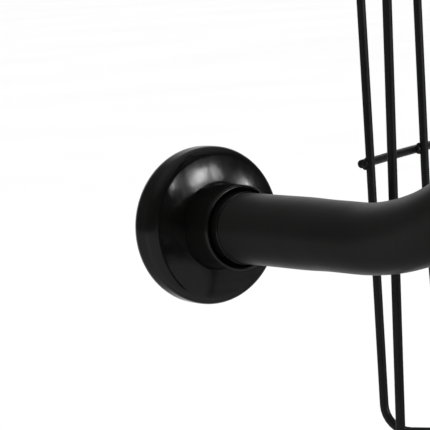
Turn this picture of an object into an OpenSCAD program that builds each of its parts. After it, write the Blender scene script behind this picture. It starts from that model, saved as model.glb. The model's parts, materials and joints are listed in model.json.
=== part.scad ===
// Free-standing mug tree with bent tube arms, ball caps and a lift-off wire basket.
// Origin: centre of the base pad's underside. +Z is up, the basket hangs on the +Y side.

/* [Base] */
// Outside diameter of the base cover
base_d = 190; // [170:1:230]
// Height of the base cover above the floor
base_h = 14; // [12:0.5:20]
// Sheet thickness of the base cover
cover_t = 1.2; // [1:0.1:2]
// Thickness of the non-slip pad
pad_t = 2; // [1.5:0.1:3]

/* [Mast] */
// Outside diameter of the mast tubes
mast_d = 19; // [18:0.5:22]
// Wall thickness of the mast tubes
mast_wall = 1.5; // [1:0.1:2]
// Height of the joint between the two mast tubes
mast_joint_z = 232; // [225:1:250]
// Height of the top of the upper mast tube
mast_top_z = 366; // [360:1:380]

/* [Arms] */
// Outside diameter of an arm tube
arm_d = 12; // [11:0.5:12.5]
// Wall thickness of an arm tube
arm_wall = 1.2; // [0.8:0.1:1.5]
// Distance from the mast axis to the middle of a cap
arm_reach = 102; // [98:1:110]
// Length from the middle of a cap to the start of the bend
arm_straight = 43.5; // [42:0.5:46]
// Centre-line radius of the bend
arm_bend_r = 60; // [58:1:62]
// Angle by which the root of an arm is steeper than its tip
arm_bend_angle = 45; // [42:1:46]
// Height of the lower arms' tips
lower_tip_z = 130; // [128:1:135]
// Height of the upper arms' tips
upper_tip_z = 300; // [297:1:303]
// Angle by which the lower arms swing back towards the basket
lower_swing = 31; // [30:0.5:32]

/* [Caps] */
// Largest diameter of a cap
cap_d = 27; // [26.4:0.1:27.6]
// Rounding radius of the cap's widest edge
cap_rim_r = 2; // [1.8:0.1:2.2]
// Rounding radius between that edge and the cap's face
cap_face_r = 1.9; // [1.7:0.1:1.9]
// Angle by which the cap's face slopes up to the collar
cap_face_slope = 6; // [5:1:7]
// Distance from the middle of the cap's edge to the top of its domed back
cap_back = 6.4; // [6:0.1:7]
// Rounding radius of the cap's rear edge
cap_back_r = 3.2; // [3:0.1:3.4]
// Outside diameter of the collar
collar_d = 14.6; // [14:0.1:15]
// Distance from the middle of the cap's edge to the mouth of the collar
collar_end = 10.3; // [9.8:0.1:10.8]

/* [Basket] */
// Diameter of the basket's thin wires
wire_d = 1.6; // [1.5:0.1:2]
// Diameter of the wire that makes the rim
rim_d = 3; // [2.8:0.1:3.5]
// Distance from the mast axis to the front wires
basket_front_y = 50; // [48:0.5:52]
// Distance from the middle of the basket to a side panel
basket_half_x = 70.1; // [69:0.1:72]
// Spacing of the front wires
front_pitch = 17.35; // [17.2:0.05:17.5]
// Distance from the front panel to the first side wire
side_first = 36.2; // [35:0.1:38]
// Spacing of the side wires
side_pitch = 27.3; // [26:0.1:29]
// Height of the centre of the rim
rim_z = 206; // [204:1:208]
// Height of the bottom of the side wires
side_bottom_z = 87.7; // [86:0.1:90]
// Height of the side rails
rail_z = 136.6; // [136:0.1:138]
// Bend radius of the side wires
side_bend_r = 5; // [4:0.1:6]
// Bend radius of the front wires
front_bend_r = 5; // [4:0.1:6]
// Centre-line radius of the rim's corners
rim_corner_r = 18; // [15:1:22]

/* [Hidden] */
$fn = 64;
clear = 0.3;             // gap between the basket and what holds it
touch = 0.03;            // gap between pieces that are pushed into one another
front_n = 7;             // front wires
side_n = 2;              // side wires
bolt_r = 4;              // M8 mast bolt
bolt_head_r = 7.2;
bolt_head_h = 5;
bolt_reach = 14;         // length of bolt inside the mast
washer_r = 9.5;
washer_t = 1.5;
weight_pocket_r = 10;    // recess under the weight for the bolt's head
pad_hole_r = 11;
screw_r = 2;             // M4 screws
screw_head_r = 2.9;
screw_head_h = 2;
screw_reach = 4;         // length of a bracket screw inside the mast's outer surface
mast_r = mast_d / 2;
mast_bore_r = mast_r - mast_wall;
arm_r = arm_d / 2;
cap_r = cap_d / 2;
collar_r = collar_d / 2;
wire_r = wire_d / 2;
rim_r = rim_d / 2;
cover_edge_r = 4;        // rounding of the cover's shoulder
plug_h = 24;             // length of each threaded plug in the mast
stud_h = 36;
finial_r = 13;
finial_rise = 5;         // height of the finial's ball centre above the mast
finial_plug_h = 15;
hub_r = 17;
hub_h = 34;
hub_low = 5;             // bottom of a hub above its arms' tips
hub_screw_r = 2.5;       // M5 set screws
hub_screw_z = 30;        // height of a set screw above the bottom of its hub
root_s = 14;             // distance from the mast axis to the middle of an arm's inner end
socket_bottom = -2;      // where an arm stops inside its cap, from the middle of its edge
cap_rim_y = 1.34;        // height of the centre of the edge's rounding
cap_rim_turn = 34;       // angle at which the edge's rounding meets the face's
cap_back_y = -0.8;       // height of the centre of the rear rounding
socket_lead = 8;         // length of a hub's socket outside the start of an arm's straight root
socket_past = 8;         // length of a hub's socket past the inner end of its arm
bend_x = arm_reach - arm_straight;
root_x = bend_x - arm_bend_r * sin(arm_bend_angle);
root_z = arm_bend_r * (1 - cos(arm_bend_angle));
root_len = (root_x - root_s) / cos(arm_bend_angle);
lower_arms = [180 - lower_swing, lower_swing];
upper_arms = [45, 135, 225, 315];
basket_depth = 2 * side_first + (side_n - 1) * side_pitch;
basket_back_y = basket_front_y + basket_depth;
front_bottom_z = side_bottom_z - wire_d;
rim_x = basket_half_x + wire_r + rim_r;
rim_front_y = basket_front_y - wire_r - rim_r;
rim_back_y = basket_back_y + wire_r + rim_r;
rail_past = 0.2;         // length of a side rail past the first side wire
rail_tail = 12;          // length of a side rail past the last side wire
saddle_w = 16;           // width of what is screwed to the mast
saddle_in = 4;           // how far a saddle wraps around the mast
bracket_t = 3;
bracket_z = rim_z - rim_r - clear - bracket_t;
bracket_h = 16;
bar_h = 9;
hook_x = 2.5 * front_pitch;
hook_w = 8;
hook_lip = 1.2;
hook_back_y = rim_front_y + rim_r + clear;
bracket_screw_z = [bracket_z - 11, bracket_z - 5];
spacer_z = 110;          // height of the lower spacer
spacer_h = 12;
spacer_w = 44;
spacer_t = 2.5;
spacer_y = basket_front_y - wire_r - clear;
BLACK = [0.10, 0.10, 0.10];
GLOSS = [0.05, 0.05, 0.05];
IRON = [0.25, 0.25, 0.26];
STEEL = [0.65, 0.66, 0.68];
RUBBER = [0.15, 0.15, 0.15];

// ---------- shared shapes ----------

// Ring-shaped tube about Z from z0 to z1
module ring(z0, z1, r_out, r_in) {
  translate([0, 0, z0])
    difference() {
      cylinder(h = z1 - z0, r = r_out);
      translate([0, 0, -1]) cylinder(h = z1 - z0 + 2, r = r_in);
    }
}

// Solid disc with a rounded upper shoulder, standing on z = 0
module shouldered_disc(r, h, edge) {
  cylinder(h = h - edge, r = r);
  cylinder(h = h, r = r - edge);
  translate([0, 0, h - edge]) rotate_extrude() translate([r - edge, 0]) circle(r = edge);
}

// Quarter bend in the XZ plane, from straight down to straight sideways
module quarter_bend(bend_r, r, start) {
  rotate([90, 0, 0]) rotate([0, 0, start])
    rotate_extrude(angle = 90) translate([bend_r, 0]) circle(r = r, $fn = 32);
}

// U-shaped wire in the XZ plane: two legs at x = -half and x = half, and a floor at z = low
module u_wire(half, low, high, bend_r) {
  for (side = [-1, 1])
    translate([side * half, 0, low + bend_r])
      cylinder(h = high - low - bend_r, r = wire_r, $fn = 32);
  translate([-half + bend_r, 0, low]) rotate([0, 90, 0])
    cylinder(h = 2 * (half - bend_r), r = wire_r, $fn = 32);
  translate([-half + bend_r, 0, low + bend_r]) quarter_bend(bend_r, wire_r, 180);
  translate([half - bend_r, 0, low + bend_r]) quarter_bend(bend_r, wire_r, 270);
}

// ---------- base ----------

module base_cover() {
  color(BLACK) difference() {
    translate([0, 0, pad_t / 2]) shouldered_disc(base_d / 2, base_h - pad_t / 2, cover_edge_r);
    translate([0, 0, pad_t / 2 - 1])
      shouldered_disc(base_d / 2 - cover_t, base_h - pad_t / 2 - cover_t + 1, cover_edge_r - cover_t);
    cylinder(h = 2 * base_h, r = bolt_r + 0.3);
  }
}

module base_weight() {
  color(IRON) difference() {
    translate([0, 0, pad_t])
      shouldered_disc(base_d / 2 - cover_t - 0.5, base_h - pad_t - cover_t, cover_edge_r);
    cylinder(h = 2 * base_h, r = bolt_r + 0.3);
    cylinder(h = pad_t + bolt_head_h + washer_t, r = weight_pocket_r);
  }
}

module base_pad() {
  color(RUBBER) ring(0, pad_t, base_d / 2 - 6, pad_hole_r);
}

module base_bolt() {
  color(STEEL) translate([0, 0, pad_t]) {
    cylinder(h = bolt_head_h, r = bolt_head_r, $fn = 6);
    cylinder(h = base_h + bolt_reach - pad_t, r = bolt_r - 0.05);
  }
}

module base_washer() {
  washer_z = pad_t + bolt_head_h;
  color(STEEL) ring(washer_z, washer_z + washer_t, washer_r, bolt_r + 0.2);
}

// ---------- mast ----------

module mast_tube(z0, z1) {
  ring(z0, z1, mast_r, mast_bore_r);
}

// Threaded plug pressed into a mast tube
module mast_plug(z0, z1) {
  ring(z0, z1, mast_bore_r - touch, bolt_r);
}

module mast_lower_tube() {
  color(BLACK) difference() {
    mast_tube(base_h, mast_joint_z);
    for (z = concat(bracket_screw_z, [spacer_z]))
      translate([0, 0, z]) rotate([-90, 0, 0]) cylinder(h = 20, r = screw_r + 0.05);
  }
}

module mast_upper_tube() {
  color(BLACK) mast_tube(mast_joint_z, mast_top_z);
}

module mast_foot_plug() {
  color(STEEL) mast_plug(base_h, base_h + plug_h);
}

module mast_joint_plug_lower() {
  color(STEEL) mast_plug(mast_joint_z - plug_h, mast_joint_z);
}

module mast_joint_plug_upper() {
  color(STEEL) mast_plug(mast_joint_z, mast_joint_z + plug_h);
}

module mast_joint_stud() {
  color(STEEL) translate([0, 0, mast_joint_z - stud_h / 2]) cylinder(h = stud_h, r = bolt_r - 0.05);
}

// Push-in top cap: a flattened ball on a plug
module mast_finial() {
  color(GLOSS) {
    translate([0, 0, mast_top_z]) intersection() {
      translate([0, 0, finial_rise]) sphere(r = finial_r);
      cylinder(h = 2 * finial_r + finial_rise, r = finial_r + 1);
    }
    translate([0, 0, mast_top_z - finial_plug_h])
      cylinder(h = finial_plug_h + 0.5, r = mast_bore_r - touch);
  }
}

// ---------- hubs and arms ----------

// An arm lies in the XZ plane, with the mast axis at x = 0 and its tip's centre line at z = 0

module at_arm_root() {
  translate([root_x, 0, root_z]) rotate([0, arm_bend_angle - 90, 0]) children();
}

// Everything within radius r of an arm's centre line, 'extra' longer at both ends
module arm_sweep(r, extra) {
  translate([bend_x, 0, 0]) rotate([0, 90, 0])
    cylinder(h = arm_straight - socket_bottom + extra, r = r);
  translate([bend_x, 0, arm_bend_r]) rotate([90, 0, 0]) rotate([0, 0, 270 - arm_bend_angle])
    rotate_extrude(angle = arm_bend_angle, $fn = 180) translate([arm_bend_r, 0]) circle(r = r, $fn = 64);
  at_arm_root() cylinder(h = root_len + extra, r = r);
}

module arm_tube() {
  color(BLACK) difference() {
    arm_sweep(arm_r, 0);
    arm_sweep(arm_r - arm_wall, 1);
  }
}

// Boss on the mast with a socket for each arm, and a threaded hole for its set screw
module hub(tip_z, angles) {
  color(BLACK) translate([0, 0, tip_z]) difference() {
    translate([0, 0, hub_low]) ring(0, hub_h, hub_r, mast_r + touch);
    for (a = angles) rotate([0, 0, a]) at_arm_root() translate([0, 0, -socket_lead])
      cylinder(h = root_len + socket_lead + socket_past, r = arm_r + touch);
    translate([0, 0, hub_low + hub_screw_z]) rotate([90, 0, 0]) cylinder(h = 2 * hub_r, r = hub_screw_r);
  }
}

// Set screw that holds a hub on the mast, from the side away from the basket
module hub_screw(tip_z) {
  socket_r = 1.4;
  socket_deep = 2.5;
  length = hub_r - mast_r - 1;
  color(STEEL) translate([0, -mast_r - touch, tip_z + hub_low + hub_screw_z]) rotate([90, 0, 0])
    difference() {
      cylinder(h = length, r = hub_screw_r - touch);
      translate([0, 0, length - socket_deep]) cylinder(h = socket_deep + 1, r = socket_r, $fn = 6);
    }
}

module lower_hub() { hub(lower_tip_z, lower_arms); }
module upper_hub() { hub(upper_tip_z, upper_arms); }
module lower_hub_screw() { hub_screw(lower_tip_z); }
module upper_hub_screw() { hub_screw(upper_tip_z); }

module placed_arm(angle, tip_z) {
  translate([0, 0, tip_z]) rotate([0, 0, angle]) arm_tube();
}

// ---------- caps ----------

function arc_points(x, y, r, a0, a1, n) =
  [for (i = [0:n]) let (a = a0 + (a1 - a0) * i / n) [x + r * cos(a), y + r * sin(a)]];

// Half section of a cap: x is the radius, y runs along the arm from the middle of the edge
module cap_section() {
  back_x = cap_r - cap_back_r;
  rise = cap_back_y + cap_back;
  dome_r = (back_x * back_x + rise * rise - cap_back_r * cap_back_r) / (2 * (rise - cap_back_r));
  dome_y = dome_r - cap_back;
  dome_end = atan2(cap_back_y - dome_y, back_x);
  edge_x = cap_r - cap_rim_r;
  step = cap_rim_r - cap_face_r;
  face_x = edge_x + step * cos(cap_rim_turn);
  face_y = cap_rim_y + step * sin(cap_rim_turn);
  face_end_x = face_x + cap_face_r * sin(cap_face_slope);
  face_end_y = face_y + cap_face_r * cos(cap_face_slope);
  collar_y = face_end_y + (face_end_x - collar_r) * tan(cap_face_slope);
  polygon(concat(
    arc_points(0, dome_y, dome_r, -90, dome_end, 8),
    arc_points(back_x, cap_back_y, cap_back_r, dome_end, 0, 10),
    arc_points(edge_x, cap_rim_y, cap_rim_r, 0, cap_rim_turn, 4),
    arc_points(face_x, face_y, cap_face_r, cap_rim_turn, 90 - cap_face_slope, 5),
    [[collar_r, collar_y], [collar_r, collar_end - 0.3], [collar_r - 0.3, collar_end],
     [arm_r + touch, collar_end], [arm_r + touch, socket_bottom], [0, socket_bottom]]
  ));
}

module cap_body() {
  color(GLOSS) rotate_extrude($fn = 128) cap_section();
}

module placed_cap(angle, tip_z) {
  translate([0, 0, tip_z]) rotate([0, 0, angle]) translate([arm_reach, 0, 0])
    rotate([0, -90, 0]) cap_body();
}

module arm_lower_left() { placed_arm(lower_arms[0], lower_tip_z); }
module arm_lower_right() { placed_arm(lower_arms[1], lower_tip_z); }
module arm_upper_1() { placed_arm(upper_arms[0], upper_tip_z); }
module arm_upper_2() { placed_arm(upper_arms[1], upper_tip_z); }
module arm_upper_3() { placed_arm(upper_arms[2], upper_tip_z); }
module arm_upper_4() { placed_arm(upper_arms[3], upper_tip_z); }
module cap_lower_left() { placed_cap(lower_arms[0], lower_tip_z); }
module cap_lower_right() { placed_cap(lower_arms[1], lower_tip_z); }
module cap_upper_1() { placed_cap(upper_arms[0], upper_tip_z); }
module cap_upper_2() { placed_cap(upper_arms[1], upper_tip_z); }
module cap_upper_3() { placed_cap(upper_arms[2], upper_tip_z); }
module cap_upper_4() { placed_cap(upper_arms[3], upper_tip_z); }

// ---------- bracket and spacer ----------

// Cuts what bears on the mast to fit it, with a hole for each screw
module mast_saddle_cut(z0, z1, screws) {
  translate([0, 0, z0 - 1]) cylinder(h = z1 - z0 + 2, r = mast_r + touch);
  for (z = screws)
    translate([0, 0, z]) rotate([-90, 0, 0]) cylinder(h = 30, r = screw_r + 0.05);
}

module saddle_screws(screws) {
  socket_r = 1.3;
  socket_deep = 1;
  top = screw_reach + bracket_t;
  color(STEEL)
    for (z = screws) translate([0, mast_r - screw_reach, z]) rotate([-90, 0, 0]) difference() {
      union() {
        cylinder(h = top, r = screw_r);
        translate([0, 0, top]) cylinder(h = screw_head_h, r = screw_head_r);
      }
      translate([0, 0, top + screw_head_h - socket_deep])
        cylinder(h = socket_deep + 1, r = socket_r, $fn = 6);
    }
}

// Saddle screwed to the back of the mast, with a bar and two open hooks for the basket's rim
module basket_bracket() {
  low = bracket_z - bracket_h;
  high = bracket_z + bracket_t;
  color(BLACK) difference() {
    union() {
      translate([-saddle_w / 2, mast_r - saddle_in, low])
        cube([saddle_w, bracket_t + saddle_in, high - low]);
      translate([-hook_x - hook_w / 2, mast_r, high - bar_h]) cube([2 * hook_x + hook_w, bracket_t, bar_h]);
      for (side = [-1, 1]) translate([side * hook_x - hook_w / 2, 0, bracket_z]) {
        translate([0, mast_r, 0]) cube([hook_w, hook_back_y + hook_lip - mast_r, bracket_t]);
        translate([0, hook_back_y, 0]) cube([hook_w, hook_lip, bracket_t + clear + rim_d]);
      }
    }
    mast_saddle_cut(low, high, bracket_screw_z);
  }
}

module bracket_screws() { saddle_screws(bracket_screw_z); }

// Lower spacer that the front wires lean on, so that the basket hangs level
module basket_spacer() {
  low = spacer_z - spacer_h / 2;
  stem_w = 3;
  stem_x = saddle_w / 2 - stem_w;
  color(BLACK) difference() {
    union() {
      translate([-saddle_w / 2, mast_r - saddle_in, low])
        cube([saddle_w, bracket_t + saddle_in, spacer_h]);
      for (side = [-1, 1]) translate([side * (stem_x + stem_w / 2) - stem_w / 2, mast_r, low])
        cube([stem_w, spacer_y - mast_r, spacer_h]);
      translate([-spacer_w / 2, spacer_y - spacer_t, low]) cube([spacer_w, spacer_t, spacer_h]);
    }
    mast_saddle_cut(low, low + spacer_h, []);
    translate([0, 0, spacer_z]) rotate([-90, 0, 0]) cylinder(h = mast_r + bracket_t + 1, r = screw_r + 0.05);
  }
}

module spacer_screw() { saddle_screws([spacer_z]); }

// ---------- basket ----------

module basket_rim() {
  run_x = rim_x - rim_corner_r;
  run_y = (rim_back_y - rim_front_y) / 2 - rim_corner_r;
  mid_y = (rim_front_y + rim_back_y) / 2;
  color(BLACK) translate([0, mid_y, rim_z]) {
    for (side = [-1, 1]) {
      translate([-run_x, side * (run_y + rim_corner_r), 0]) rotate([0, 90, 0])
        cylinder(h = 2 * run_x, r = rim_r);
      translate([side * rim_x, -run_y, 0]) rotate([-90, 0, 0]) cylinder(h = 2 * run_y, r = rim_r);
    }
    for (corner = [[1, 1, 0], [-1, 1, 90], [-1, -1, 180], [1, -1, 270]])
      translate([corner[0] * run_x, corner[1] * run_y, 0]) rotate([0, 0, corner[2]])
        rotate_extrude(angle = 90) translate([rim_corner_r, 0]) circle(r = rim_r);
  }
}

module side_wire(i) {
  color(BLACK) translate([0, basket_front_y + side_first + (i - 1) * side_pitch, 0])
    u_wire(basket_half_x, side_bottom_z, rim_z, side_bend_r);
}

module front_wire(i) {
  x = (i - (front_n + 1) / 2) * front_pitch;
  color(BLACK) translate([x, (basket_front_y + basket_back_y) / 2, 0]) rotate([0, 0, 90])
    u_wire(basket_depth / 2, front_bottom_z, rim_z, front_bend_r);
}

// Thin rod welded across the outside of one side panel
module side_rail(side) {
  y0 = basket_front_y + side_first - rail_past;
  color(BLACK) translate([side * (basket_half_x + wire_d), y0, rail_z]) rotate([-90, 0, 0])
    cylinder(h = (side_n - 1) * side_pitch + rail_past + rail_tail, r = wire_r, $fn = 32);
}

module side_rail_left() { side_rail(-1); }
module side_rail_right() { side_rail(1); }

// ---------- assembly ----------

base_cover();
base_weight();
base_pad();
base_bolt();
base_washer();
mast_lower_tube();
mast_upper_tube();
mast_foot_plug();
mast_joint_plug_lower();
mast_joint_plug_upper();
mast_joint_stud();
mast_finial();
lower_hub();
upper_hub();
lower_hub_screw();
upper_hub_screw();
arm_lower_left();
arm_lower_right();
arm_upper_1();
arm_upper_2();
arm_upper_3();
arm_upper_4();
cap_lower_left();
cap_lower_right();
cap_upper_1();
cap_upper_2();
cap_upper_3();
cap_upper_4();
basket_bracket();
bracket_screws();
basket_spacer();
spacer_screw();
basket_rim();
side_rail_left();
side_rail_right();
for (i = [1:side_n]) side_wire(i);
for (i = [1:front_n]) front_wire(i);
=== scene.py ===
"""Mug tree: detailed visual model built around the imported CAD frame."""

import json
import math
import random

import bpy
from mathutils import Matrix, Vector


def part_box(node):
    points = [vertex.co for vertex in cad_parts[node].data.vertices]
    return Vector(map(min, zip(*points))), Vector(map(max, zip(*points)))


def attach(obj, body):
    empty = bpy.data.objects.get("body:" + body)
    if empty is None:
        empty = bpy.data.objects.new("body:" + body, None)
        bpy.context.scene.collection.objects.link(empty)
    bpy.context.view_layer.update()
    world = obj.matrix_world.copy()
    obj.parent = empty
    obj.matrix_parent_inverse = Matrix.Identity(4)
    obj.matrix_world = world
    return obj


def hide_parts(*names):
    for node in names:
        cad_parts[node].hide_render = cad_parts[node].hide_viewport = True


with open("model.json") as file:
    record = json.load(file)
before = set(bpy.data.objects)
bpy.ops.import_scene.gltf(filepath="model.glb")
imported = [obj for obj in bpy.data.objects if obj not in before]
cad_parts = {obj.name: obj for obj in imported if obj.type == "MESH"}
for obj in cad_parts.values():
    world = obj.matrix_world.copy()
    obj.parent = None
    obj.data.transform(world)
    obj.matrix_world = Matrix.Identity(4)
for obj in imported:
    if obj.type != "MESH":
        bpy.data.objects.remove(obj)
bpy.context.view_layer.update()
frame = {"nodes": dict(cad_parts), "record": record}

MM = 0.001

# ---------- sizes, in millimetres, that the CAD nodes follow too ----------

ARM_REACH = 102.0
ARM_STRAIGHT = 43.5
ARM_BEND_R = 60.0
ARM_BEND = math.radians(45)
ARM_ROOT = 14.0
ARM_R = 6.0
TIP_STOP = -2.0
TIP_Z = {"lower": 130.0, "upper": 300.0}
ARMS = {
    "lower_left": ("lower", 149.0), "lower_right": ("lower", 31.0),
    "upper_1": ("upper", 45.0), "upper_2": ("upper", 135.0),
    "upper_3": ("upper", 225.0), "upper_4": ("upper", 315.0),
}
WIRE_R = 0.8
RIM_R = 1.5
SIDE_BEND_R = 5.0
FRONT_BEND_R = 5.0
RIM_CORNER_R = 18.0
MAST_R = 9.5
MAST_WALL = 1.5
MAST_EDGE = 0.35
FINIAL_RISE = 5.0
PLUG_GAP = 0.03
PLUG_CHAMFER = 0.5
SHEET = 1.2
COVER_EDGE = 4.0
BOLT_HOLE = 4.3
PAD_HOLE = 11.0


def mm_box(node):
    """Lowest and highest corner of a CAD node, in millimetres."""
    lo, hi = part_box(node)
    return Vector(lo) / MM, Vector(hi) / MM


# ---------- materials ----------

class Nodes:
    """A new material and short calls that add linked shader nodes to it."""

    def __init__(self, name):
        self.material = bpy.data.materials.new(name)
        self.material.use_nodes = True
        self.tree = self.material.node_tree
        self.shader = self.tree.nodes["Principled BSDF"]
        coords = self.tree.nodes.new("ShaderNodeTexCoord")
        self.position = coords.outputs["Object"]

    def set(self, **values):
        for key, value in values.items():
            self.shader.inputs[key.replace("_", " ")].default_value = value

    def link(self, source, target):
        self.tree.links.new(source, target)

    def noise(self, scale, detail=2.0, roughness=0.5, stretch=None):
        node = self.tree.nodes.new("ShaderNodeTexNoise")
        node.inputs["Scale"].default_value = scale
        node.inputs["Detail"].default_value = detail
        node.inputs["Roughness"].default_value = roughness
        source = self.position
        if stretch:
            mapping = self.tree.nodes.new("ShaderNodeMapping")
            mapping.inputs["Scale"].default_value = stretch
            self.link(source, mapping.inputs["Vector"])
            source = mapping.outputs["Vector"]
        self.link(source, node.inputs["Vector"])
        return node.outputs["Fac"]

    def cells(self, scale):
        node = self.tree.nodes.new("ShaderNodeTexVoronoi")
        node.inputs["Scale"].default_value = scale
        self.link(self.position, node.inputs["Vector"])
        return node.outputs["Distance"]

    def span(self, value, low, high, start=0.3, end=0.7):
        """Value mapped from start..end to low..high."""
        node = self.tree.nodes.new("ShaderNodeMapRange")
        node.inputs["From Min"].default_value = start
        node.inputs["From Max"].default_value = end
        node.inputs["To Min"].default_value = low
        node.inputs["To Max"].default_value = high
        self.link(value, node.inputs["Value"])
        return node.outputs["Result"]

    def shades(self, value, dark, light):
        """Base colour from dark to light as the value rises."""
        ramp = self.tree.nodes.new("ShaderNodeValToRGB")
        for i, (place, color) in enumerate(((0.35, dark), (0.65, light))):
            ramp.color_ramp.elements[i].position = place
            ramp.color_ramp.elements[i].color = (*color, 1)
        self.link(value, ramp.inputs["Fac"])
        self.link(ramp.outputs["Color"], self.shader.inputs["Base Color"])

    def roughness(self, value):
        self.link(value, self.shader.inputs["Roughness"])

    def bump(self, height, strength, distance, before=None):
        node = self.tree.nodes.new("ShaderNodeBump")
        node.inputs["Strength"].default_value = strength
        node.inputs["Distance"].default_value = distance
        self.link(height, node.inputs["Height"])
        if before:
            self.link(before, node.inputs["Normal"])
        return node.outputs["Normal"]

    def normal(self, value):
        self.link(value, self.shader.inputs["Normal"])


def powder_coat():
    """Satin black powder coat: fine orange peel, faint cloudiness."""
    m = Nodes("black_powder_coat")
    m.shades(m.noise(60, 3), (0.0074, 0.0074, 0.0072), (0.0098, 0.0098, 0.0095))
    m.roughness(m.span(m.noise(180, 3), 0.30, 0.38))
    peel = m.bump(m.noise(1900, 2), 0.25, 0.00006)
    m.normal(m.bump(m.noise(5200, 1), 0.18, 0.00002, peel))
    m.set(Specular_IOR_Level=0.2)
    return m.material


def wire_coat():
    """Semi-gloss coating on drawn wire, a little wavy along its length."""
    m = Nodes("black_wire")
    m.shades(m.noise(120, 3), (0.0045, 0.0045, 0.0045), (0.0075, 0.0075, 0.0073))
    m.roughness(m.span(m.noise(400, 2), 0.30, 0.44))
    m.normal(m.bump(m.noise(1400, 2), 0.22, 0.00005))
    m.set(Specular_IOR_Level=0.3)
    return m.material


def gloss_plastic():
    """Glossy moulded plastic with slight sink waviness and handling marks."""
    m = Nodes("gloss_black_plastic")
    m.shades(m.noise(90, 4), (0.0026, 0.0026, 0.0025), (0.0042, 0.0042, 0.0040))
    marks = m.noise(700, 4, 0.65, stretch=(1.0, 1.0, 0.25))
    m.roughness(m.span(marks, 0.11, 0.19, 0.25, 0.75))
    waves = m.bump(m.noise(190, 2), 0.32, 0.00012)
    m.normal(m.bump(m.noise(2600, 2), 0.10, 0.00002, waves))
    m.set(Specular_IOR_Level=0.4)
    return m.material


def zinc_steel():
    m = Nodes("zinc_steel")
    m.shades(m.noise(300, 3), (0.46, 0.47, 0.50), (0.60, 0.61, 0.62))
    m.roughness(m.span(m.noise(900, 3, stretch=(1, 1, 8)), 0.24, 0.42))
    m.normal(m.bump(m.noise(1500, 2, stretch=(1, 1, 6)), 0.25, 0.00004))
    m.set(Metallic=1.0)
    return m.material


def cast_iron():
    m = Nodes("cast_iron")
    m.shades(m.noise(140, 5), (0.045, 0.043, 0.042), (0.085, 0.082, 0.080))
    m.roughness(m.span(m.noise(500, 3), 0.62, 0.85))
    m.normal(m.bump(m.noise(900, 5, 0.7), 0.6, 0.0003))
    m.set(Metallic=0.6)
    return m.material


def rubber():
    m = Nodes("rubber")
    m.shades(m.noise(200, 3), (0.012, 0.012, 0.012), (0.022, 0.022, 0.021))
    m.roughness(m.span(m.noise(800, 2), 0.75, 0.92))
    m.normal(m.bump(m.cells(1800), 0.4, 0.0001))
    return m.material


def floor_paper():
    m = Nodes("floor_paper")
    m.shades(m.noise(3, 3), (0.90, 0.90, 0.90), (0.92, 0.92, 0.92))
    m.roughness(m.span(m.noise(40, 2), 0.85, 0.95))
    m.set(Specular_IOR_Level=0.1)
    return m.material


MATERIALS = {
    "black_powder_coat": powder_coat(), "black_wire": wire_coat(),
    "gloss_black_plastic": gloss_plastic(), "zinc_steel": zinc_steel(),
    "cast_iron": cast_iron(), "rubber": rubber(),
}
SLOT_OF = {row["node"]: row["material_slot"] for row in frame["record"]["subparts"]}
BODY_OF = {node: body for body, nodes in frame["record"]["behaviour"]["bodies"].items()
           for node in nodes}


# ---------- mesh builders, all in millimetres ----------

def make_piece(name, verts, faces, nodes, slot):
    """A smooth mesh object in metres that stands for CAD nodes and rides with their body."""
    mesh = bpy.data.meshes.new(name)
    mesh.from_pydata([Vector(v) * MM for v in verts], [], faces)
    mesh.update()
    mesh.polygons.foreach_set("use_smooth", [True] * len(mesh.polygons))
    piece = bpy.data.objects.new(name, mesh)
    bpy.context.scene.collection.objects.link(piece)
    piece.data.materials.append(MATERIALS[slot])
    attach(piece, BODY_OF[nodes[0]])
    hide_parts(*nodes)
    return piece


def weld_meshes(parts):
    """Several (verts, faces) lists as one."""
    verts, faces = [], []
    for part_verts, part_faces in parts:
        start = len(verts)
        verts.extend(part_verts)
        faces.extend([tuple(i + start for i in face) for face in part_faces])
    return verts, faces


def moved(part, matrix):
    return [matrix @ Vector(v) for v in part[0]], part[1]


def lathe(profile, segments=128):
    """Turns (radius, height) points about Z. A radius of 0 at either end closes the shape."""
    verts, rows = [], []
    for radius, height in profile:
        if radius < 1e-6:
            rows.append([len(verts)] * segments)
            verts.append(Vector((0, 0, height)))
        else:
            rows.append(list(range(len(verts), len(verts) + segments)))
            for k in range(segments):
                turn = 2 * math.pi * k / segments
                verts.append(Vector((radius * math.cos(turn), radius * math.sin(turn), height)))
    faces = []
    for row, after in zip(rows, rows[1:]):
        for k in range(segments):
            n = (k + 1) % segments
            corners = [row[k], row[n], after[n], after[k]]
            face = tuple(dict.fromkeys(corners))
            if len(face) > 2:
                faces.append(face)
    return verts, faces


def arc(centre, radius, start, end, steps):
    """Points on an arc in the plane, from angle start to end in degrees."""
    points = []
    for k in range(steps + 1):
        turn = math.radians(start + (end - start) * k / steps)
        points.append((centre[0] + radius * math.cos(turn), centre[1] + radius * math.sin(turn)))
    return points


SWEEP_SIDES = 32
# How far along a swept piece's rounded end its rows lie, as a share
END_STEPS = (0.0, 0.3, 0.7)


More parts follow.
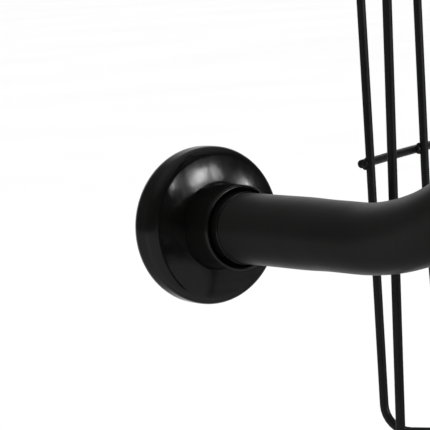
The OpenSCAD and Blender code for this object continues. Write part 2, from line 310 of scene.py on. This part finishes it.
def sweep(path, section, closed=False, rounding=0.25):
    """Sweeps a section along a path. section(i, turn) gives the radius at path point i."""
    count, sides = len(path), SWEEP_SIDES
    tangents = []
    for i in range(count):
        before = path[i - 1] if (i > 0 or closed) else path[i]
        after = path[(i + 1) % count] if (i < count - 1 or closed) else path[i]
        tangents.append((after - before).normalized())
    side = tangents[0].orthogonal().normalized()
    if abs(tangents[0].z) < 0.9:
        side = Vector((0, 0, 1)).cross(tangents[0]).normalized()
    verts, rows = [], []

    def add_row(centre, tangent, side_axis, i, shrink=0.0):
        other = tangent.cross(side_axis)
        row = []
        for k in range(sides):
            turn = 2 * math.pi * k / sides
            r = section(i, turn) - shrink
            row.append(len(verts))
            verts.append(centre + side_axis * (r * math.cos(turn)) + other * (r * math.sin(turn)))
        rows.append(row)

    frames = []
    for i in range(count):
        side = (side - tangents[i] * side.dot(tangents[i])).normalized()
        frames.append(side.copy())

    def add_end(i, inward, steps):
        """Rounded end at path point i."""
        for step in steps:
            shrink = rounding * (1 - math.sin(step * math.pi / 2))
            add_row(path[i] + inward * (rounding * step / 2), tangents[i], frames[i], i, shrink)

    if not closed:
        add_end(0, tangents[0], END_STEPS)
    for i in range(count) if closed else range(1, count - 1):
        add_row(path[i], tangents[i], frames[i], i)
    if not closed:
        add_end(count - 1, -tangents[-1], END_STEPS[::-1])
    faces = []
    pairs = list(zip(rows, rows[1:]))
    if closed:
        pairs.append((rows[-1], rows[0]))
    for row, after in pairs:
        for k in range(sides):
            n = (k + 1) % sides
            faces.append((row[k], row[n], after[n], after[k]))
    if not closed:
        for row, flip in ((rows[0], True), (rows[-1], False)):
            hub = len(verts)
            verts.append(sum((verts[i] for i in row), Vector()) / sides)
            for k in range(sides):
                n = (k + 1) % sides
                faces.append((row[n], row[k], hub) if flip else (row[k], row[n], hub))
    return verts, faces


def resample(points, spacing):
    """The same polyline with points about 'spacing' apart."""
    out = [points[0]]
    for a, b in zip(points, points[1:]):
        steps = max(1, round((b - a).length / spacing))
        out.extend(a.lerp(b, k / steps) for k in range(1, steps + 1))
    return out


def u_path(half, low, high, bend):
    """A U in the XZ plane, from the top of one leg to the top of the other."""
    points = [Vector((-half, 0, high)), Vector((-half, 0, low + bend))]
    points += [Vector((x, 0, z)) for x, z in arc((-half + bend, low + bend), bend, 180, 270, 8)[1:]]
    points += [Vector((x, 0, z)) for x, z in arc((half - bend, low + bend), bend, 270, 360, 8)]
    points.append(Vector((half, 0, high)))
    return resample(points, 4.0)


# ---------- camera ----------

TIP_DIRECTION = math.radians(ARMS["lower_left"][1])
SEEN_CAP = Vector((ARM_REACH * math.cos(TIP_DIRECTION), ARM_REACH * math.sin(TIP_DIRECTION),
                   TIP_Z["lower"]))
CAMERA_AZIMUTH = math.radians(25.0)
CAMERA_ELEVATION = math.radians(5.81)
CAMERA_ROLL = math.radians(3.84)
CAMERA_DISTANCE = 481.43
# How far the camera's axis passes to the right of the seen cap and above it
AIM_RIGHT = 1.33
AIM_UP = 1.68
LENS = 234.4
SENSOR_WIDTH = 36.0


def add_camera():
    azimuth, elevation, roll = CAMERA_AZIMUTH, CAMERA_ELEVATION, CAMERA_ROLL
    right = Vector((math.cos(azimuth), math.sin(azimuth), 0))
    ahead = Vector((-math.sin(azimuth) * math.cos(elevation), math.cos(azimuth) * math.cos(elevation),
                    -math.sin(elevation)))
    up = right.cross(ahead)
    turned_right = right * math.cos(roll) - up * math.sin(roll)
    turned_up = right * math.sin(roll) + up * math.cos(roll)
    place = SEEN_CAP + turned_right * AIM_RIGHT + turned_up * AIM_UP - ahead * CAMERA_DISTANCE
    data = bpy.data.cameras.new("camera")
    data.sensor_width = SENSOR_WIDTH
    data.lens = LENS
    data.clip_start, data.clip_end = 0.01, 30.0
    camera = bpy.data.objects.new("camera", data)
    bpy.context.scene.collection.objects.link(camera)
    camera.matrix_world = Matrix((
        (turned_right.x, turned_up.x, -ahead.x, place.x * MM),
        (turned_right.y, turned_up.y, -ahead.y, place.y * MM),
        (turned_right.z, turned_up.z, -ahead.z, place.z * MM),
        (0, 0, 0, 1)))
    bpy.context.scene.camera = camera


# ---------- caps ----------

CAP_STEPS = 24
CAP_R = 13.6
CAP_BACK = 6.4
# Radius and centre height of the rear rounding, then of the rounding of the widest edge
REAR_R = 3.2
REAR_Y = -0.8
EDGE_R = 2.0
EDGE_Y = 1.2
# Slope of the face at its edge and at the collar, in degrees
FACE_SLOPES = (12.0, 6.0)
FACE_INNER_R = 7.5
COLLAR_R = 7.3
COLLAR_TAPER = 0.02
COLLAR_STEPS = 8
COLLAR_END = 10.15
MOUTH_R = 0.32
SOCKET_R = 6.02
# Where the dark ring of painted shade at the collar's mouth ends, and the rounding of its lip
RING_END = 11.8
RING_LIP = 0.1


def cap_profile():
    """Radius and height along the arm, from the domed back to the collar's mouth and socket."""
    rear_x = CAP_R - REAR_R
    rise = REAR_Y + CAP_BACK
    dome_r = (rear_x ** 2 + rise ** 2 - REAR_R ** 2) / (2 * (rise - REAR_R))
    dome_y = dome_r - CAP_BACK
    dome_end = math.degrees(math.atan2(REAR_Y - dome_y, rear_x))
    points = arc((0, dome_y), dome_r, -90, dome_end, CAP_STEPS)
    points += arc((rear_x, REAR_Y), REAR_R, dome_end, 0, CAP_STEPS)[1:]
    points += arc((CAP_R - EDGE_R, EDGE_Y), EDGE_R, 0, 90 - FACE_SLOPES[0], CAP_STEPS)
    x, y = points[-1]
    width = (x - FACE_INNER_R) / CAP_STEPS
    for k in range(CAP_STEPS):
        slope = FACE_SLOPES[0] + (FACE_SLOPES[1] - FACE_SLOPES[0]) * k / CAP_STEPS
        x, y = x - width, y + width * math.tan(math.radians(slope))
        points.append((x, y))
    # Fine groove where the collar starts, then the collar's wall, slightly tapered
    points += [(COLLAR_R + 0.12, y - 0.02), (COLLAR_R + 0.06, y - 0.12), (COLLAR_R, y - 0.16)]
    wall = y + 0.05
    points.append((COLLAR_R, wall))
    for k in range(1, COLLAR_STEPS + 1):
        share = k / COLLAR_STEPS
        points.append((COLLAR_R - COLLAR_TAPER * share, wall + (COLLAR_END - 0.1 - y) * share))
    # Rounded mouth, its inner lip and the socket
    lip = COLLAR_R - MOUTH_R - COLLAR_TAPER
    points += arc((lip, COLLAR_END), MOUTH_R, 0, 110, 8)[1:]
    for radius, depth in ((6.7, 0), (6.5, 0.4), (6.3, 0.7), (6.1, 0.9), (SOCKET_R, 1.2)):
        points.append((radius, COLLAR_END - depth))
    return points + [(SOCKET_R, TIP_STOP), (0, TIP_STOP)]


def mouth_shade_ring_profile():
    """Thin glossy ring around the tube just outside the collar's mouth, in the cap's darker plastic,
    put there as painted shade where the tube enters the collar.
    """
    low, high = COLLAR_END - 0.9, RING_END
    outer = [(6.25, low), (6.22, COLLAR_END), (6.2, high - 0.8), (6.15, high - 0.1)]
    lip = arc((6.05, high), RING_LIP, 0, 180, 6)
    inner = 6.05 - RING_LIP
    return outer + lip + [(inner, high - 0.5), (inner, low), outer[0]]


def arm_place(tier, angle):
    """Places an arm made in the XZ plane with its tip at z = 0."""
    return Matrix.Translation((0, 0, TIP_Z[tier])) @ Matrix.Rotation(math.radians(angle), 4, "Z")


def add_caps():
    # The second lathe is the dark ring of painted shade at the collar's mouth
    part = weld_meshes([lathe(cap_profile(), 192), lathe(mouth_shade_ring_profile(), 128)])
    for name, (tier, angle) in ARMS.items():
        place = (arm_place(tier, angle) @ Matrix.Translation((ARM_REACH, 0, 0))
                 @ Matrix.Rotation(math.radians(-90), 4, "Y"))
        verts, faces = moved(part, place)
        make_piece("cap_" + name + "_skin", verts, faces, ["cap_" + name], "gloss_black_plastic")


# ---------- arms ----------

# Stretches, measured from the cap's edge, over which the tube's squeeze grows and fades
SQUEEZE_IN = (29, 37)
SQUEEZE_OUT = (60, 72)
# How much the tube is thinner in the plane of the bend and wider across it, in radius
SQUEEZE = 0.18
BULGE = 0.10
# Slight dent on the inside of the bend
DENT = 0.10
DENT_AT = 46
DENT_WIDTH = 5


def ramp(value, start, end):
    """0 before start, 1 after end, smooth between."""
    t = min(1.0, max(0.0, (value - start) / (end - start)))
    return t * t * (3 - 2 * t)


def arm_path():
    """Centre line of an arm in the XZ plane, from the cap to the hub."""
    bend_x = ARM_REACH - ARM_STRAIGHT
    points = [Vector((ARM_REACH - TIP_STOP, 0, 0)), Vector((bend_x, 0, 0))]
    for x, z in arc((bend_x, ARM_BEND_R), ARM_BEND_R, 270, 270 - math.degrees(ARM_BEND), 40)[1:]:
        points.append(Vector((x, 0, z)))
    end = points[-1]
    length = (end.x - ARM_ROOT) / math.cos(ARM_BEND)
    points.append(end + Vector((-math.cos(ARM_BEND), 0, math.sin(ARM_BEND))) * length)
    return resample(points, 1.5)


def add_arms():
    path = arm_path()
    travelled = [0.0]
    for before, after in zip(path, path[1:]):
        travelled.append(travelled[-1] + (after - before).length)

    def section(i, turn):
        """Round tube, squeezed a little in the plane of the bend by the bending tool."""
        along = travelled[i] + TIP_STOP
        pressed = ramp(along, *SQUEEZE_IN) * (1 - ramp(along, *SQUEEZE_OUT))
        dent = DENT * math.exp(-((along - DENT_AT) / DENT_WIDTH) ** 2)
        inward = math.sin(turn)  # 1 on the inside of the bend, -1 on its outside
        radius = ARM_R + pressed * (BULGE * math.cos(turn) ** 2 - SQUEEZE * inward ** 2)
        return radius - dent * max(0.0, inward) ** 2

    verts, faces = sweep(path, section)
    for name, (tier, angle) in ARMS.items():
        turned, _ = moved((verts, faces), arm_place(tier, angle))
        make_piece("arm_" + name + "_skin", turned, faces, ["arm_" + name], "black_powder_coat")


# ---------- basket ----------

# How fast and how far a wire's waviness runs along each axis
BOW_WAVES = ((7, 1.0), (9, 1.0), (8, 0.3))


def bowed(path, seed, size):
    """Slight waviness of hand-bent wire, none at the ends."""
    rng = random.Random(seed)
    phases = [rng.uniform(0, 2 * math.pi) for _ in BOW_WAVES]
    out, count = [], len(path) - 1
    for i, p in enumerate(path):
        t = i / count
        fade = min(1.0, 6 * t, 6 * (1 - t))
        wave = [far * math.sin(fast * t + phase) for (fast, far), phase in zip(BOW_WAVES, phases)]
        out.append(p + Vector(wave) * (size * fade))
    return out


def bead(centre, sizes, seed):
    """Small uneven drop of weld metal."""
    rng = random.Random(seed)
    rows, sides = 8, 12
    turns = [math.pi * k / rows for k in range(1, rows)]
    profile = [(math.sin(turn), -math.cos(turn)) for turn in turns]
    verts, faces = lathe([(0.0, -1.0)] + profile + [(0.0, 1.0)], sides)
    phase = rng.uniform(0, 2 * math.pi)
    out = []
    for v in verts:
        swell = 1 + 0.12 * math.sin(3 * v.x + 2 * v.z + phase)
        out.append(Vector(centre) + Vector((v.x * sizes[0], v.y * sizes[1], v.z * sizes[2])) * swell)
    return out, faces


# Sideways lean of hand-welded wires, in mm per mm of height above the lower arms' tips
LEANS = {
    "side_wire_1": (0.0037, -0.0049),
    "side_wire_2": (0.0139, 0.0041),
    "front_wire_1": (0.0254, 0.0099),
}
# The second side wire's lower part is bent the other way
LOWER_LEANS = {"side_wire_2": (-0.028, 0.0)}
# Heights from the tips where a lean stops growing, and where it fades out towards the rim
LEAN_DOWN, LEAN_UP = -42.0, 40.0
LEAN_FADE = (170, 204)
# Where a wire's floor takes over from its leaning leg, on side wires in X and on front wires in Y
SIDE_LEG = (-62, -20)
FRONT_LEG = (62, 90)
# Bowing of the wires and rails
WIRE_BOW = 0.12
RAIL_BOW = 0.06
# Half sizes of the weld drops
RIM_BEAD = (1.1, 1.1, 1.3)
FLOOR_BEAD = (1.2, 1.2, 0.7)
RAIL_BEAD = (0.7, 1.2, 1.1)


def leaning(verts, node):
    """Leans the leg of a basket wire that the photo shows; the rim's end stays in place."""
    out = []
    for v in verts:
        height = min(LEAN_UP, max(LEAN_DOWN, v.z - TIP_Z["lower"])) * (1 - ramp(v.z, *LEAN_FADE))
        share = 1 - (ramp(v.x, *SIDE_LEG) if node.startswith("side") else ramp(v.y, *FRONT_LEG))
        lean = LOWER_LEANS.get(node, LEANS[node]) if height < 0 else LEANS[node]
        out.append(v + Vector((*lean, 0)) * (height * share))
    return out


def add_basket_wire(node, seed, rim_z, front_x):
    """U-shaped wire with its weld drops, at the rim and on the basket's floor."""
    lo, hi = mm_box(node)
    mid = (lo + hi) / 2
    along_x = node.startswith("side")
    half = ((hi.x - lo.x) if along_x else (hi.y - lo.y)) / 2 - WIRE_R
    bend = SIDE_BEND_R if along_x else FRONT_BEND_R
    path = bowed(u_path(half, lo.z + WIRE_R, hi.z, bend), seed, WIRE_BOW)
    turn = Matrix.Identity(4) if along_x else Matrix.Rotation(math.radians(90), 4, "Z")
    place = Matrix.Translation((mid.x, mid.y, 0)) @ turn
    parts = [moved(sweep(path, lambda i, turn: WIRE_R, rounding=0.2), place)]
    side = Vector((1, 0, 0)) if along_x else Vector((0, 1, 0))
    for k, end in enumerate((-1, 1)):
        spot = Vector((mid.x, mid.y, rim_z)) + side * (end * (half + WIRE_R))
        parts.append(bead(spot, RIM_BEAD, 10 * seed + k))
    if along_x:
        for k, x in enumerate(front_x):
            parts.append(bead((x, mid.y, lo.z), FLOOR_BEAD, 100 * seed + k))
    verts, faces = weld_meshes(parts)
    if node in LEANS:
        verts = leaning(verts, node)
    make_piece(node + "_skin", verts, faces, [node], "black_wire")


def add_side_rail(node, side_y):
    """Rod welded across the side wires."""
    lo, hi = mm_box(node)
    mid = (lo + hi) / 2
    path = resample([Vector((mid.x, lo.y, mid.z)), Vector((mid.x, hi.y, mid.z))], 3.0)
    parts = [sweep(bowed(path, len(node), RAIL_BOW), lambda i, turn: WIRE_R, rounding=0.15)]
    inward = -math.copysign(WIRE_R, mid.x)
    parts += [bead((mid.x + inward, y, mid.z), RAIL_BEAD, int(y)) for y in side_y]
    make_piece(node + "_skin", *weld_meshes(parts), [node], "black_wire")


def add_basket():
    wires = sorted(n for n in frame["nodes"] if n.startswith(("side_wire_", "front_wire_")))
    rim_lo, rim_hi = mm_box("basket_rim")
    rim_z = (rim_lo.z + rim_hi.z) / 2
    middles = {node: sum(mm_box(node), Vector()) / 2 for node in wires}
    front_x = [middles[node].x for node in wires if node.startswith("front")]
    side_y = [middles[node].y for node in wires if node.startswith("side")]
    for seed, node in enumerate(wires):
        add_basket_wire(node, seed, rim_z, front_x)
    for node in ("side_rail_left", "side_rail_right"):
        add_side_rail(node, side_y)
    add_rim()


def add_rim():
    lo, hi = mm_box("basket_rim")
    z = (lo.z + hi.z) / 2
    r = RIM_CORNER_R
    x, near, far = hi.x - RIM_R - r, lo.y + RIM_R + r, hi.y - RIM_R - r
    points = []
    for quarter, centre in enumerate(((x, far), (-x, far), (-x, near), (x, near))):
        start = 90 * quarter
        points += [Vector((*point, z)) for point in arc(centre, r, start, start + 90, 14)]
    path = resample(points + [points[0]], 3.0)[:-1]
    verts, faces = sweep(path, lambda i, turn: RIM_R, closed=True)
    make_piece("basket_rim_skin", verts, faces, ["basket_rim"], "black_wire")


# ---------- base, mast and finial ----------

def rounded_ring(inner, outer, low, high, edge):
    """Closed half section of a ring whose outer edges are rounded."""
    points = [(inner, low), (outer - edge, low)]
    points += arc((outer - edge, low + edge), edge, -90, 0, 6)
    points += arc((outer - edge, high - edge), edge, 0, 90, 6)
    return points + [(inner, high), (inner, low)]


COVER_HEM = 0.5
# Radius, half width and depth of the ring pressed into the base cover
SWAGE_R = 31
SWAGE_HALF = 3
SWAGE_DEPTH = 0.6
PAD_EDGE = 0.4
# Rings that the pad's grooves lie between, and their depth
PAD_RINGS = 12
GROOVE_DEPTH = 0.4


def add_base():
    lo, hi = mm_box("base_cover")
    radius, top = hi.x, hi.z
    outer = [(radius - SHEET, lo.z)]
    outer += arc((radius - COVER_HEM, lo.z + COVER_HEM), COVER_HEM, -90, 0, 5)
    outer += arc((radius - COVER_EDGE, top - COVER_EDGE), COVER_EDGE, 0, 90, 16)
    swage = []
    for across, deep in ((SWAGE_HALF, 0), (2, 0.12), (1, 0.45), (0, SWAGE_DEPTH),
                         (-1, 0.45), (-2, 0.12), (-SWAGE_HALF, 0)):
        swage.append((SWAGE_R + across, top - deep))
    under = top - SHEET
    inner = [(BOLT_HOLE, top), (BOLT_HOLE, under)]
    inner += [(SWAGE_R - SWAGE_HALF, under), (SWAGE_R, under - 0.4), (SWAGE_R + SWAGE_HALF, under)]
    inner += arc((radius - COVER_EDGE, top - COVER_EDGE), COVER_EDGE - SHEET, 90, 0, 10)
    profile = outer + swage + inner + outer[:1]
    cover = make_piece("base_cover_skin", *lathe(profile, 256), ["base_cover"], "black_powder_coat")
    lo, hi = mm_box("base_pad")
    profile = [(PAD_HOLE, lo.z + 0.3)]
    for k in range(1, PAD_RINGS):
        groove = PAD_HOLE + (hi.x - PAD_HOLE) * k / PAD_RINGS
        for across, deep in ((-0.6, 0), (-0.3, GROOVE_DEPTH), (0.3, GROOVE_DEPTH), (0.6, 0)):
            profile.append((groove + across, lo.z + deep))
    profile += arc((hi.x - PAD_EDGE, lo.z + PAD_EDGE), PAD_EDGE, -90, 0, 4)
    profile += arc((hi.x - PAD_EDGE, hi.z - PAD_EDGE), PAD_EDGE, 0, 90, 4)
    profile += [(PAD_HOLE, hi.z), profile[0]]
    pad = make_piece("base_pad_skin", *lathe(profile, 192), ["base_pad"], "rubber")
    for piece in (cover, pad, frame["nodes"]["base_weight"]):
        piece.visible_glossy = False


def add_mast():
    lo, hi = mm_box("mast_upper_tube")
    profile = rounded_ring(hi.x - MAST_WALL, hi.x, lo.z, hi.z, MAST_EDGE)
    make_piece("mast_upper_tube_skin", *lathe(profile, 128), ["mast_upper_tube"], "black_powder_coat")
    lo, hi = mm_box("mast_finial")
    ball = hi.x
    ball_z = hi.z - ball
    seat = ball_z - FINIAL_RISE
    half = math.degrees(math.asin(FINIAL_RISE / ball))
    foot = ball * math.cos(math.radians(half))
    plug = MAST_R - MAST_WALL - PLUG_GAP
    profile = [(0, lo.z), (plug - PLUG_CHAMFER, lo.z), (plug, lo.z + PLUG_CHAMFER), (plug, seat)]
    profile += [(foot - 0.4, seat), (foot - 0.1, seat + 0.12)]
    profile += arc((0, ball_z), ball, 2 - half, 90, 40)[:-1] + [(0, hi.z)]
    make_piece("mast_finial_skin", *lathe(profile, 160), ["mast_finial"], "gloss_black_plastic")


# ---------- CAD nodes that keep their shape ----------

def paint_cad_nodes():
    for node, obj in frame["nodes"].items():
        obj.data.materials.clear()
        obj.data.materials.append(MATERIALS[SLOT_OF[node]])


# ---------- stage and light ----------

# Half the floor's width, in metres
FLOOR_HALF = 14.0
ROOM_STRENGTH = 1.12
# What reflections see. Each ramp has a start and an end, then the brightness at each. The first
# and last run along the camera's view direction, the middle two along the height.
MIRRORED_RAMP = (0.70, 1.0, 0.06, 0.85)
CEILING_RAMP = (0.45, 0.95, 0.0, 0.35)
TABLE_RAMP = (-0.01, -0.13, 0.0, 0.52)
TABLE_FADE = (-0.1, 0.5, 1.0, 0.3)
# Azimuth and elevation from the seen cap in degrees, width and height in metres, power in watts
LAMPS = {
    "key_softbox": (88.4, 9.4, 0.17, 0.10, 1.2),
    "left_spot": (72.6, 10.2, 0.045, 0.055, 0.55),
    "right_spot": (104.2, 3.8, 0.04, 0.04, 0.26),
}
LAMP_DISTANCE = 1.0


def add_stage():
    h = FLOOR_HALF
    mesh = bpy.data.meshes.new("floor")
    mesh.from_pydata([(-h, -h, 0), (h, -h, 0), (h, h, 0), (-h, h, 0)], [], [(0, 1, 2, 3)])
    floor = bpy.data.objects.new("floor", mesh)
    bpy.context.scene.collection.objects.link(floor)
    floor.data.materials.append(floor_paper())
    floor.visible_glossy = False


def area_light(name, place, aim, size, power):
    data = bpy.data.lights.new(name, "AREA")
    data.shape = "RECTANGLE"
    data.size, data.size_y = size
    data.energy = power
    light = bpy.data.objects.new(name, data)
    bpy.context.scene.collection.objects.link(light)
    light.location = place
    light.rotation_mode = "QUATERNION"
    light.rotation_quaternion = (Vector(aim) - Vector(place)).to_track_quat("-Z", "Y")
    light.visible_camera = False


def from_cap(azimuth, elevation, distance):
    a, e = math.radians(azimuth), math.radians(elevation)
    direction = Vector((math.sin(a) * math.cos(e), -math.cos(a) * math.cos(e), math.sin(e)))
    return SEEN_CAP * MM + direction * distance


def ramp_nodes(tree, value, start, end, low, high):
    """Nodes that take value from low at start to high at end."""
    node = tree.nodes.new("ShaderNodeMapRange")
    node.interpolation_type = "SMOOTHSTEP"
    for key, number in (("From Min", start), ("From Max", end), ("To Min", low), ("To Max", high)):
        node.inputs[key].default_value = number
    tree.links.new(value, node.inputs["Value"])
    return node.outputs["Result"]


def add_world():
    """White room. Reflections see dark walls, brighter behind the object, overhead and below."""
    world = bpy.data.worlds.new("studio")
    bpy.context.scene.world = world
    world.use_nodes = True
    tree = world.node_tree
    room = tree.nodes["Background"]
    room.inputs["Color"].default_value = (1, 1, 1, 1)
    room.inputs["Strength"].default_value = ROOM_STRENGTH
    coords = tree.nodes.new("ShaderNodeTexCoord")
    forward = tree.nodes.new("ShaderNodeVectorMath")
    forward.operation = "DOT_PRODUCT"
    forward.inputs[1].default_value = (-math.sin(CAMERA_AZIMUTH), math.cos(CAMERA_AZIMUTH), 0)
    tree.links.new(coords.outputs["Generated"], forward.inputs[0])
    mirrored = tree.nodes.new("ShaderNodeBackground")
    parts = tree.nodes.new("ShaderNodeSeparateXYZ")
    tree.links.new(coords.outputs["Generated"], parts.inputs["Vector"])
    ahead, height = forward.outputs["Value"], parts.outputs["Z"]

    def combine(operation, first, second):
        node = tree.nodes.new("ShaderNodeMath")
        node.operation = operation
        tree.links.new(first, node.inputs[0])
        tree.links.new(second, node.inputs[1])
        return node.outputs["Value"]

    walls = combine("ADD", ramp_nodes(tree, ahead, *MIRRORED_RAMP),
                    ramp_nodes(tree, height, *CEILING_RAMP))
    table = combine("MULTIPLY", ramp_nodes(tree, height, *TABLE_RAMP),
                    ramp_nodes(tree, ahead, *TABLE_FADE))
    tree.links.new(combine("ADD", walls, table), mirrored.inputs["Strength"])
    path = tree.nodes.new("ShaderNodeLightPath")
    mix = tree.nodes.new("ShaderNodeMixShader")
    tree.links.new(path.outputs["Is Glossy Ray"], mix.inputs["Fac"])
    tree.links.new(room.outputs["Background"], mix.inputs[1])
    tree.links.new(mirrored.outputs["Background"], mix.inputs[2])
    tree.links.new(mix.outputs["Shader"], tree.nodes["World Output"].inputs["Surface"])


def add_lights():
    add_world()
    for name, (azimuth, elevation, width, height, power) in LAMPS.items():
        place = from_cap(azimuth, elevation, LAMP_DISTANCE)
        area_light(name, place, SEEN_CAP * MM, (width, height), power)


add_camera()
paint_cad_nodes()
add_caps()
add_arms()
add_basket()
add_base()
add_mast()
add_stage()
add_lights()
bpy.context.scene.view_settings.view_transform = "Standard"
